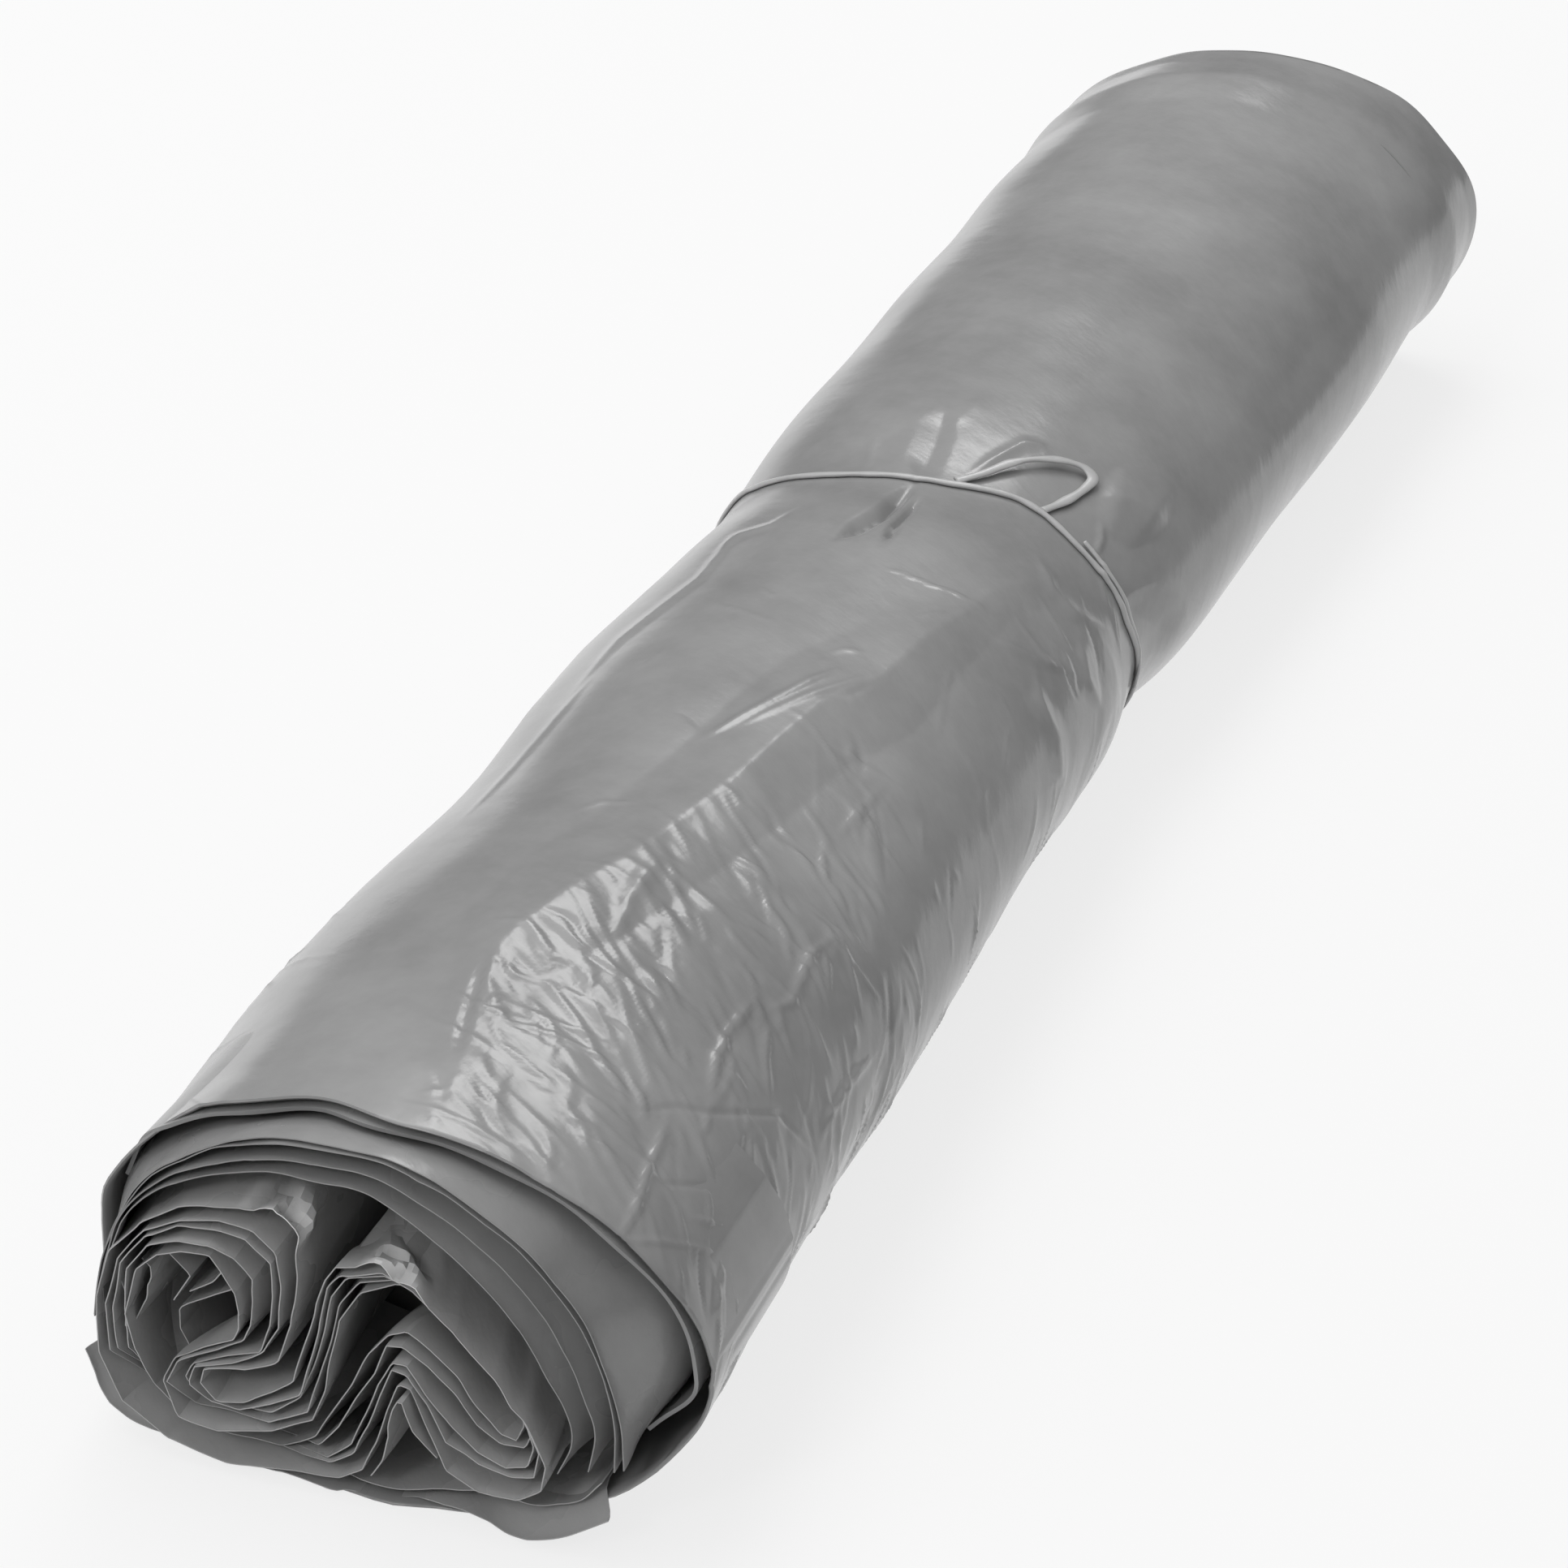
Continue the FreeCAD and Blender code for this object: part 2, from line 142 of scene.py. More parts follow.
# Creases of the near half as pixels of the photograph: name, points, half width in pixels, height in mm.
CREASES = (
    ("long ridge", ((1279, 715), (1228, 727), (1176, 767), (1137, 794), (1081, 846), (1010, 877), (959, 917),
                    (911, 960), (780, 1060), (700, 1110), (620, 1165), (585, 1240), (560, 1310)), 75, 1.4),
    ("long crease", ((860, 913), (939, 877), (994, 850), (1042, 830)), 9, 0.34),
    ("long crease twin", ((900, 905), (994, 868), (1050, 850), (1081, 838)), 7, 0.22),
    ("crumple tip", ((1018, 812), (1040, 806), (1062, 812)), 6, 0.16),
    ("tick one", ((1129, 768), (1146, 764), (1164, 764)), 5, 0.12),
    ("tick two", ((935, 724), (950, 734), (958, 733)), 5, 0.12),
    ("top streak one", ((780, 826), (800, 820), (825, 800)), 5, 0.1),
    ("top streak two", ((700, 1000), (740, 985), (785, 988)), 5, 0.1),
    ("long crease edge", ((1000, 872), (1040, 868), (1081, 850)), 7, -0.16),
    ("hook", ((892, 976), (905, 990), (915, 1012)), 6, 0.16),
    ("thin line", ((1000, 893), (1006, 960), (1010, 1020)), 5, 0.08),
    ("crescent", ((1018, 1030), (1012, 1067), (1022, 1089)), 6, 0.18),
    ("side line one", ((1172, 814), (1160, 870), (1153, 917)), 5, 0.09),
    ("side line two", ((1242, 893), (1236, 956)), 5, 0.09),
    ("side line three", ((1188, 925), (1208, 968), (1218, 1016)), 6, 0.1),
    ("side streak", ((1093, 964), (1060, 1000), (1030, 1035)), 12, 0.12),
    ("facet edge one", ((1218, 786), (1275, 814), (1319, 830)), 12, 0.3),
    ("facet edge two", ((1275, 830), (1279, 865), (1299, 909), (1303, 956), (1287, 972)), 16, 0.4),
    ("facet edge three", ((1330, 786), (1338, 838), (1354, 877)), 14, 0.35),
    ("lens facet", ((1279, 683), (1299, 727), (1327, 755), (1366, 774)), 14, 0.35),
    ("left flank one", ((700, 850), (760, 790), (860, 711), (900, 660), (951, 640)), 9, 0.3),
    ("left flank two", ((880, 676), (910, 656), (950, 643), (976, 624)), 7, 0.25),
    ("left flank three", ((560, 1000), (640, 915), (730, 830)), 8, 0.24),
    ("left flank four", ((240, 1240), (330, 1180), (400, 1120), (470, 1060)), 6, 0.16),
    ("left flank five", ((180, 1330), (260, 1250), (300, 1220)), 6, 0.18),
    ("field one", ((631, 1161), (708, 1251), (746, 1311), (793, 1366)), 8, 0.24),
    ("field two", ((682, 1131), (704, 1165), (729, 1200), (719, 1242)), 8, 0.24),
    ("field three", ((708, 1097), (742, 1157), (772, 1200)), 8, 0.22),
    ("field four", ((815, 1063), (776, 1114), (755, 1165)), 20, 0.4),
    ("field valley", ((601, 1174), (575, 1250), (558, 1311)), 12, -0.35),
    ("field five", ((567, 1319), (605, 1370), (644, 1413)), 6, 0.2),
    ("field six", ((584, 1323), (620, 1365), (652, 1405)), 6, 0.18),
    ("field seven", ((520, 1345), (554, 1340), (567, 1319)), 6, 0.16),
    ("right ridge one", ((930, 1229), (896, 1276), (883, 1306), (875, 1358)), 12, 0.36),
    ("right ridge two", ((877, 1370), (868, 1396)), 7, 0.2),
    ("right ridge three", ((943, 1251), (943, 1306), (951, 1358)), 7, 0.22),
    ("right ridge four", ((1030, 1150), (994, 1182), (973, 1238), (940, 1250)), 12, 0.3),
    ("right ridge five", ((857, 1127), (875, 1174)), 7, 0.18),
    ("right ridge six", ((1015, 1050), (1020, 1088)), 6, 0.16),
    ("lower ridge", ((828, 1366), (815, 1405), (798, 1443), (785, 1486), (763, 1533)), 11, 0.35),
    ("cross line one", ((760, 1370), (830, 1362), (879, 1370), (964, 1372), (1011, 1426)), 6, -0.2),
    ("cross line two", ((798, 1456), (875, 1460), (956, 1481)), 6, -0.2),
    ("cross line three", ((849, 1498), (917, 1516)), 6, 0.18),
    ("cross line four", ((759, 1524), (830, 1532), (896, 1545)), 6, 0.18),
    ("edge crumple one", ((1080, 1290), (1050, 1325), (1020, 1375), (1010, 1415)), 10, 0.35),
    ("edge crumple two", ((970, 1495), (917, 1530)), 9, 0.3),
    ("edge crumple three", ((895, 1555), (875, 1635)), 9, 0.3),
    ("pucker one", ((1166, 500), (1150, 545), (1128, 590)), 26, -0.5),
    ("pucker two", ((1128, 592), (1087, 628), (1028, 661)), 14, -1.4),
    ("pucker three", ((1137, 606), (1106, 639), (1087, 672)), 10, -0.9),
    ("pucker four", ((1080, 528), (1065, 575)), 12, 0.14),
    ("pucker five", ((1213, 487), (1176, 521)), 16, 0.14),
    ("loop ridge", ((1194, 580), (1235, 558), (1261, 545), (1283, 547), (1291, 558)), 12, 0.5),
    ("band tick", ((1356, 640), (1358, 664), (1350, 687)), 8, 0.3),
    ("lens ridge", ((1350, 612), (1395, 622), (1440, 650)), 48, 0.8),
    ("lens valley", ((1385, 740), (1425, 768), (1450, 785)), 42, -0.6),
)

# Route of the band over the skin as (x, degrees from the top towards +Y), and the loop's route as (x, y, height).
BAND_ROUTE = (
    (2.4, 180.0), (3.2, 140.0), (6.0, 100.0), (7.6, 78.0), (7.2, 62.0), (4.8, 48.0), (2.3, 30.0), (1.7, 12.0),
    (2.3, -4.0), (4.2, -26.0), (2.1, -45.0), (1.2, -62.0), (0.3, -88.0), (1.4, -120.0), (2.2, -150.0), (2.4, -180.0),
)
SECOND_ROUTE = ((3.3, -46.0), (2.4, -56.0), (1.9, -68.0), (1.0, -80.0), (0.0, -92.0), (-1.6, -97.0))
LOOP_ROUTE = (
    (3.4, -3.4, 0.4), (6.2, -5.8, 0.6), (9.7, -8.2, 0.9), (12.4, -10.8, 1.0), (14.4, -13.4, 1.0),
    (15.2, -15.8, 0.9), (14.2, -17.2, 0.8), (12.0, -17.0, 0.6), (9.2, -16.2, 0.5), (6.6, -15.2, 0.4),
    (4.2, -14.2, 0.4),
)


def smooth_step(value, low, high):
    """Rise smoothly from 0 at low to 1 at high."""
    share = np.clip((value - low) / (high - low), 0.0, 1.0)
    return share * share * (3.0 - 2.0 * share)


def camera_axes():
    """Give the camera's forward, right and up directions."""
    heading, drop = CAMERA_HEADING, CAMERA_DROP
    forward = np.array((math.cos(heading) * math.cos(drop), math.sin(heading) * math.cos(drop), -math.sin(drop)))
    right = np.array((math.sin(heading), -math.cos(heading), 0.0))
    return forward, right, np.cross(right, forward)


def photo_pixels(points):
    """Give the pixel of the photograph where each point shows."""
    forward, right, up = camera_axes()
    ray = points - CAMERA_PLACE
    depth = ray @ forward
    across = PHOTO_SIZE / 2 + FOCAL_PIXELS * (ray @ right) / depth
    down = PHOTO_SIZE / 2 - FOCAL_PIXELS * (ray @ up) / depth
    return np.stack((across, down), axis=-1)


def waves(points, length, seed, count=14):
    """A smooth random field between about -1 and 1, with swells about as long as length."""
    rng = np.random.default_rng(seed)
    directions = rng.normal(size=(count, points.shape[-1]))
    directions /= np.linalg.norm(directions, axis=1, keepdims=True)
    rates = 2 * math.pi / length * rng.uniform(0.6, 1.5, size=(count, 1))
    phases = rng.uniform(0, 2 * math.pi, size=count)
    return np.sin(points @ (directions * rates).T + phases).sum(axis=-1) / math.sqrt(count)


def facets(across, along, cell, seed, stretch=1.0, turn=0.0):
    """A random field of flat facets between -1 and 1, about cell wide, longer by stretch along turn."""
    lean = math.radians(turn)
    first = (across * math.cos(lean) + along * math.sin(lean)) / stretch
    second = along * math.cos(lean) - across * math.sin(lean)
    rng = np.random.default_rng(seed)
    columns = np.arange(first.min() - 2 * cell, first.max() + 3 * cell, cell)
    rows = np.arange(second.min() - 2 * cell, second.max() + 3 * cell, cell)
    spots = np.array([(u, v) for u in columns for v in rows])
    spots += rng.uniform(-0.48, 0.48, size=spots.shape) * cell
    corners, _, faces, _, _, _ = delaunay_2d_cdt([Vector(spot) for spot in spots], [], [], 0, 1e-6)
    heights = rng.uniform(-1, 1, size=len(corners))
    tree = BVHTree.FromPolygons([(c.x, c.y, z) for c, z in zip(corners, heights)], faces)
    down = Vector((0, 0, -1))
    field = np.zeros(len(first))
    for k, (u, v) in enumerate(zip(first, second)):
        place = tree.ray_cast(Vector((u, v, 5)), down)[0]
        if place is not None:
            field[k] = place.z
    return field


def skin_form(x, angle):
    """The skin without creases: points for places x along it and angles round it from the top to +Y."""
    away = x - WAIST_PLACE
    near = away < 0
    share = np.where(near, away / (NEAR_RIM - WAIST_PLACE), away / (ROLL_END - WAIST_PLACE))
    end = [np.where(near, a, b) for a, b in zip(NEAR_SIZE, FAR_SIZE)]
    neck = np.exp(-(away / NECK_REACH) ** 2)
    width = SHOULDER[0] + (end[0] - SHOULDER[0]) * share + (WAIST[0] - SHOULDER[0]) * neck
    height = SHOULDER[1] + (end[1] - SHOULDER[1]) * share + (WAIST[1] - SHOULDER[1]) * neck
    middle = WAIST_SHIFT + (end[2] - WAIST_SHIFT) * share ** 2
    sink = FLAT_SINK * (1 - neck)
    half_height = (height + sink) / 2
    fullness = 2 + (LOW_FULLNESS - 2) * (1 - neck) ** 2
    across, up = np.sin(angle), np.cos(angle)
    low = (across > 0) & (up < 0)
    across = np.where(low, np.abs(across) ** (2 / fullness), across)
    up = np.where(low, -np.abs(up) ** (2 / fullness), up)
    y = middle + width / 2 * across
    z = BAND_LIFT * neck - sink + half_height * (1 + up)
    return np.stack((x, y, z), axis=-1)


def skin_normals(x, angle):
    """Directions straight out of the form."""
    step = 0.01
    round_it = skin_form(x, angle + step) - skin_form(x, angle - step)
    along_it = skin_form(x + step, angle) - skin_form(x - step, angle)
    normals = np.cross(along_it, round_it)
    return normals / np.linalg.norm(normals, axis=-1, keepdims=True)


def graded(count, low, high, density):
    """Places from low to high, closer together where density is larger."""
    fine = np.linspace(low, high, 4000)
    weight = np.concatenate(((0.0,), np.cumsum(density(fine[:-1]))))
    return np.interp(np.linspace(0, weight[-1], count), weight, fine)


def near_rim_line(angle):
    """Where the wrap ends at the near end: it reaches further out at the floor, with a ragged edge."""
    low = smooth_step(-np.cos(angle), 0.35, 0.95)
    ring = np.stack((np.sin(angle), np.cos(angle)), axis=-1) * 30
    return NEAR_RIM - 4.2 * low + (0.35 + 0.9 * low) * waves(ring, 16, 4)


def far_rim_line(angle):
    """Where the wrap ends at the far end, with a slightly uneven edge."""
    ring = np.stack((np.sin(angle), np.cos(angle)), axis=-1) * 30
    return ROLL_END - 0.5 + 0.4 * waves(ring, 25, 6)


def line_distance(pixels, points):
    """Distance of each pixel to a line, and how far along it the nearest place is, from 0 to 1."""
    points = np.array(points, float)
    spans = np.linalg.norm(np.diff(points, axis=0), axis=1)
    starts = np.concatenate(((0.0,), np.cumsum(spans)))
    best = np.full(len(pixels), 1e9)
    share = np.zeros(len(pixels))
    for k, span in enumerate(spans):
        run = (points[k + 1] - points[k]) / span
        offset = pixels - points[k]
        reach = np.clip(offset @ run, 0, span)
        gap = np.linalg.norm(offset - reach[:, None] * run, axis=1)
        closer = gap < best
        best = np.where(closer, gap, best)
        share = np.where(closer, (starts[k] + reach) / starts[-1], share)
    return best, share


def crease_heights(pixels):
    """The listed creases: roofs and valleys that fade out at both ends."""
    heights = np.zeros(len(pixels))
    for name, points, half_width, height in CREASES:
        gap, share = line_distance(pixels, points)
        taper = smooth_step(share, -0.02, 0.3) * smooth_step(1 - share, -0.02, 0.3)
        profile = np.clip(1 - gap / (half_width * (0.45 + 0.55 * taper)), 0, 1)
        sharpness = 1.0 if half_width > 20 else 1.5
        heights += height * profile ** sharpness * (0.1 + 0.9 * taper)
    return heights


def crumple_share(x, angle):
    """Where the film is crumpled, from 0 to 1: a field beside the long ridge, a lower ridge and the side at the band."""
    ridge = np.radians(np.interp(x, RIDGE_PLACES, RIDGE_DEGREES))
    beyond = ridge - angle
    side = smooth_step(beyond, 0.0, 0.3) * smooth_step(angle, -2.3, -1.9) * smooth_step(-x, 2, 20)
    field = smooth_step(beyond, -0.05, 0.06) * smooth_step(-beyond, -0.95, -0.5) * smooth_step(-x, 42, 92)
    lower_ridge = np.exp(-((angle + 0.84) / 0.15) ** 2) * smooth_step(-x, 68, 92)
    low = smooth_step(-angle, 0.95, 1.2) * smooth_step(angle, -2.1, -1.6) * smooth_step(-x, 62, 105)
    by_band = np.exp(-((x + 13) / 13) ** 2) * smooth_step(beyond, 0.0, 0.2) * smooth_step(angle, -2.3, -1.9)
    return np.clip(0.14 * side + 0.9 * field + 0.7 * lower_ridge + 0.5 * low + 0.45 * by_band, 0, 1)


def streaks(x, girth, share, count, seed):
    """Many short thin creases that lie mostly round the roll, thickest on the ground where share is high."""
    rng = np.random.default_rng(seed)
    weights = share ** 1.5
    centres = rng.choice(len(x), size=count, p=weights / weights.sum())
    heights = np.zeros(len(x))
    for centre in centres:
        lean = math.radians(rng.normal(54, 17))
        length = rng.uniform(1.5, 7.5)
        width = rng.uniform(0.4, 0.95)
        height = rng.uniform(0.05, 0.2) * (1 if rng.uniform() < 0.75 else -1)
        bend = rng.normal(0, 0.7)
        close = np.nonzero(np.abs(x - x[centre]) + np.abs(girth - girth[centre]) < 1.6 * length)[0]
        du, dv = x[close] - x[centre], girth[close] - girth[centre]
        along = (du * math.cos(lean) + dv * math.sin(lean)) / length
        across = dv * math.cos(lean) - du * math.sin(lean) + bend * along ** 2
        fade = np.clip(1 - along ** 2, 0, 1)
        profile = np.clip(1 - np.abs(across) / (width * (0.35 + 0.65 * fade)), 0, 1)
        heights[close] += height * fade * profile ** 1.4
    return heights


def skin_relief(x, angle, form, normals):
    """How far each point of the skin stands out of its form."""
    forward = camera_axes()[0]
    pixels = photo_pixels(form)
    seen = smooth_step(-(normals @ forward), 0.02, 0.2)
    away = x - WAIST_PLACE
    neck = np.exp(-(away / NECK_REACH) ** 2)
    girth = angle * MEAN_RADIUS
    relief = 0.35 * waves(form, 55, 11) + 0.1 * waves(form * (0.4, 1, 1), 16, 12)
    relief += seen * crease_heights(pixels)
    near = smooth_step(-x, 4, 40)
    hidden = 1 - seen
    share = crumple_share(x, angle) + 0.3 * hidden * near
    flank = smooth_step(angle, 0.3, 0.7) * smooth_step(-angle, -1.6, -1.1) * near
    relief += share * (0.4 * facets(x, girth, 7.0, 21, 2.2, 55) + 0.2 * facets(x, girth, 3.4, 22, 2.2, 48))
    relief += 0.1 * facets(x, girth, 12.0, 23, 1.8, 60) * (0.4 + 0.6 * near)
    relief += streaks(x, girth, np.clip(share, 0, 1) + 0.06 * near + 0.12 * flank + 0.002, 460, 24)
    left_rim = smooth_step(-x, 112, 144)
    relief -= 1.3 * left_rim * smooth_step(angle, 0.5, 1.1) * smooth_step(-angle, -1.9, -1.5)
    relief += 0.9 * left_rim * smooth_step(angle, 1.7, 2.0) * smooth_step(-angle, -2.5, -2.2)
    pucker = np.abs(np.sin(5.5 * angle + 0.9 * np.sin(2 * angle + 1.0)))
    side_pucker = 0.35 + 0.65 * smooth_step(-np.cos(angle + 1.1), -0.4, 0.6)
    relief += (pucker - 0.6) * 0.75 * side_pucker * (1 - neck) * np.exp(-np.abs(away) / 11.0)
    relief += 0.7 * np.clip(1 - np.abs(x - ROLL_END + 13) / 9, 0, 1)
    relief -= 1.3 * np.exp(-((x + 85) / 48) ** 2) * smooth_step(angle, 0.2, 0.8) * smooth_step(-angle, -2.2, -1.6)
    relief += 1.3 * np.exp(-((x - 70) / 42) ** 2) * smooth_step(-angle, 1.1, 1.5) * smooth_step(angle, -2.5, -2.1)
    return relief


def skin_grid():
    """The outer face of the wrap as a grid: points, normals and the place of each as (x, angle)."""
    def round_density(value):
        return 1 + 3.4 * smooth_step(value, -2.0, -1.8) * smooth_step(-value, -1.1, -0.5)

    def near_density(value):
        return 1 - 0.25 * smooth_step(value, 0.45, 0.6)

    def far_density(value):
        return 1 + 2.2 * smooth_step(-value, -0.3, -0.15) + 0.6 * smooth_step(value, 0.88, 0.98)

    angles = graded(SKIN_ROUND + 1, -math.pi, math.pi, round_density)[:-1]
    route = np.array(BAND_ROUTE[::-1])
    seam = np.interp(np.degrees(angles), route[:, 1], route[:, 0])[None, :]
    near, far = near_rim_line(angles)[None, :], far_rim_line(angles)[None, :]
    near_shares = graded(NEAR_ROWS, 0.0, 1.0, near_density)[:, None]
    far_shares = graded(FAR_ROWS, 0.0, 1.0, far_density)[1:, None]
    x = np.concatenate((near + (seam - near) * near_shares, seam + (far - seam) * far_shares))
    angle = np.broadcast_to(angles, x.shape)
    place = np.stack((x, angle), axis=-1)
    x, angle = x.ravel(), angle.ravel()
    form, normals = skin_form(x, angle), skin_normals(x, angle)
    points = form + normals * skin_relief(x, angle, form, normals)[:, None]
    points[:, 2] = np.maximum(points[:, 2], 0.05)
    shape = (NEAR_ROWS + FAR_ROWS - 1, SKIN_ROUND, 3)
    return points.reshape(shape), normals.reshape(shape), place


def grid_faces(rows, columns, closed, start=0, flip=False):
    """Quads of a grid whose points lie row after row."""
    faces = []
    for j in range(rows - 1):
        for k in range(columns if closed else columns - 1):
            a = start + j * columns + k
            b = start + j * columns + (k + 1) % columns
            quad = (a, b, b + columns, a + columns)
            faces.append(quad[::-1] if flip else quad)
    return faces


def make_piece(name, points, faces, material, sharp=45):
    """A smooth mesh object in metres from points in millimetres."""
    mesh = bpy.data.meshes.new(name)
    mesh.from_pydata((np.asarray(points) * MM).tolist(), [], faces)
    mesh.validate()
    mesh.polygons.foreach_set("use_smooth", [True] * len(mesh.polygons))
    if sharp:
        mesh.set_sharp_from_angle(angle=math.radians(sharp))
    mesh.materials.append(material)
    piece = bpy.data.objects.new(name, mesh)
    bpy.context.scene.collection.objects.link(piece)
    return piece


def build_wrap(material):
    """The outer wrap as two halves: the outer face, the rim, the inner face and a back wall at the end's depth."""
    outer, normals, places = skin_grid()
    pieces = []
    last = len(outer) - 1
    for name, side, row, seam, depth in (("roll_wrap_near", -1, 0, NEAR_ROWS - 1, NEAR_DEPTH),
                                         ("roll_wrap_far", 1, last, NEAR_ROWS - 1, FAR_DEPTH)):
        rim, out = outer[row], normals[row]
        edge = rim - out * RIM_FILM / 2
        edge[:, 0] += side * 0.12
        rows = [edge, rim - out * RIM_FILM]
        for share in (0.08, 0.3, 0.65, 1.0):
            back = rim - out * (RIM_FILM + 0.5 * share)
            back[:, 0] = rim[:, 0] - side * depth * share
            rows.append(back)
        wall = rows[-1]
        rows += [wall.mean(axis=0) + (wall - wall.mean(axis=0)) * share for share in (0.7, 0.4, 0.1)]
        skin = list(outer[:seam + 1]) if side < 0 else list(outer[seam:][::-1])
        middle = skin[-1].mean(axis=0)
        cap = [middle + (skin[-1] - middle) * share for share in (0.6, 0.1)]
        everything = rows[::-1] + skin + cap
        points = np.concatenate(everything)
        points[:, 2] = np.maximum(points[:, 2], 0.05)
        count = len(everything)
        faces = grid_faces(count, SKIN_ROUND, True, flip=side < 0)
        ends = (tuple(range(SKIN_ROUND)), tuple(range((count - 1) * SKIN_ROUND, count * SKIN_ROUND)))
        faces.append(ends[0] if side < 0 else ends[0][::-1])
        faces.append(ends[1][::-1] if side < 0 else ends[1])
        wrap = make_piece(name, points, faces, material, sharp=60)
        skin_places = places[:seam + 1] if side < 0 else places[seam:][::-1]
        spread = np.concatenate([places[row]] * len(rows) + [skin_places.reshape(-1, 2)] + [places[seam]] * len(cap))
        crumple = wrap.data.attributes.new("crumple", "FLOAT", "POINT")
        crumple.data.foreach_set("value", crumple_share(spread[:, 0], spread[:, 1]).astype(np.float32))
        sheet = np.stack((spread[:, 0], spread[:, 1] * MEAN_RADIUS, np.zeros(len(spread))), axis=-1) * MM
        flat = wrap.data.attributes.new("sheet", "FLOAT_VECTOR", "POINT")
        flat.data.foreach_set("vector", sheet.ravel().astype(np.float32))
        pieces.append(wrap)
    return pieces


def spline(line, count, closed):
    """Evenly spaced points on a smooth curve through a line's points."""
    line = np.array(line, float)
    if closed:
        guide = np.concatenate((line[-1:], line, line[:2]))
    else:
        guide = np.concatenate((2 * line[:1] - line[1:2], line, 2 * line[-1:] - line[-2:-1]))
    fine = []
    share = np.linspace(0, 1, 12, endpoint=False)[:, None]
    for a, b, c, d in zip(guide, guide[1:], guide[2:], guide[3:]):
        fine.append(0.5 * (2 * b + (c - a) * share + (2 * a - 5 * b + 4 * c - d) * share ** 2
                           + (3 * b - a - 3 * c + d) * share ** 3))
    fine = np.concatenate(fine + [line[:1] if closed else line[-1:]])
    reach = np.concatenate(((0.0,), np.cumsum(np.linalg.norm(np.diff(fine, axis=0), axis=1))))
    places = np.linspace(0, reach[-1], count, endpoint=not closed)
    return np.stack([np.interp(places, reach, fine[:, k]) for k in range(2)], axis=-1)


def line_normals(points, closed):
    """Sideways directions of a line of (y, z) points."""
    if closed:
        run = np.roll(points, -1, axis=0) - np.roll(points, 1, axis=0)
    else:
        run = np.gradient(points, axis=0)
    side = np.stack((-run[:, 1], run[:, 0]), axis=-1)
    return side / np.maximum(np.linalg.norm(side, axis=1, keepdims=True), 1e-9)


def blend_lines(first, second, share):
    """A line between two others that have as many points."""
    return [(a[0] + (b[0] - a[0]) * share, a[1] + (b[1] - a[1]) * share) for a, b in zip(first, second)]


def fit_far(line):
    """A near fold line fitted to the wider and higher far end."""
    across = (FAR_SIZE[0] - 2 * WRAP_WALL) / (NEAR_SIZE[0] - 2 * WRAP_WALL)
    up = (FAR_SIZE[1] - 2 * WRAP_WALL) / (NEAR_SIZE[1] - 2 * WRAP_WALL)
    return [(FAR_SIZE[2] + (y - NEAR_SIZE[2]) * across, WRAP_WALL + (z - WRAP_WALL) * up) for y, z in line]


def kinks(places, spacing, seed):
    """Random straight runs between -1 and 1 along a line, with a kink about every spacing."""
    rng = np.random.default_rng(seed)
    count = max(int(places[-1] / spacing), 2)
    spots = np.linspace(0, places[-1], count + 1)
    spots[1:-1] += rng.uniform(-0.42, 0.42, count - 1) * spacing
    heights = rng.uniform(-1, 1, count + 1)
    heights[-1] = heights[0]
    return np.interp(places, spots, heights)


def wrap_line(inset, low_right, low_left, count=60):
    """The inner outline of the wrap at its near rim as (y, z), tucked in at its ends, and the rim's places."""
    angle = np.radians(np.linspace(low_left, low_right, count))
    form = skin_form(np.full(count, NEAR_RIM), angle)
    normals = skin_normals(np.full(count, NEAR_RIM), angle)
    share = np.linspace(0, 1, count)
    tuck = 1.6 * (smooth_step(-share, -0.14, 0.0) + smooth_step(share, 0.86, 1.0))
    line = (form - normals * (inset + tuck)[:, None])[:, 1:]
    return [tuple(point) for point in line], near_rim_line(angle) - 0.3 + 1.5 * tuck


def flared_line(line, inset, low=0.0):
    """A fold line pushed out from the middle of the end until it lies inside the wrap.
    Points whose reach from the middle is below low stay where they are."""
    half_width, half_height = NEAR_SIZE[0] / 2 - inset, NEAR_SIZE[1] / 2 - inset
    middle, centre = NEAR_SIZE[2], NEAR_SIZE[1] / 2
    flared = []
    for y, z in line:
        reach = math.hypot((y - middle) / half_width, (z - centre) / half_height)
        push = (1 / reach - 1) * (float(smooth_step(reach, low, low + 0.3)) if low else 1.0)
        flared.append((y + (y - middle) * push, z + (z - centre) * push))
    return flared


def straight_runs(line, count, closed):
    """Evenly spaced points on the straight runs between a line's points."""
    line = np.array(line, float)
    if closed:
        line = np.concatenate((line, line[:1]))
    reach = np.concatenate(((0.0,), np.cumsum(np.linalg.norm(np.diff(line, axis=0), axis=1))))
    places = np.linspace(0, reach[-1], count, endpoint=not closed)
    return np.stack([np.interp(places, reach, line[:, k]) for k in range(2)], axis=-1)


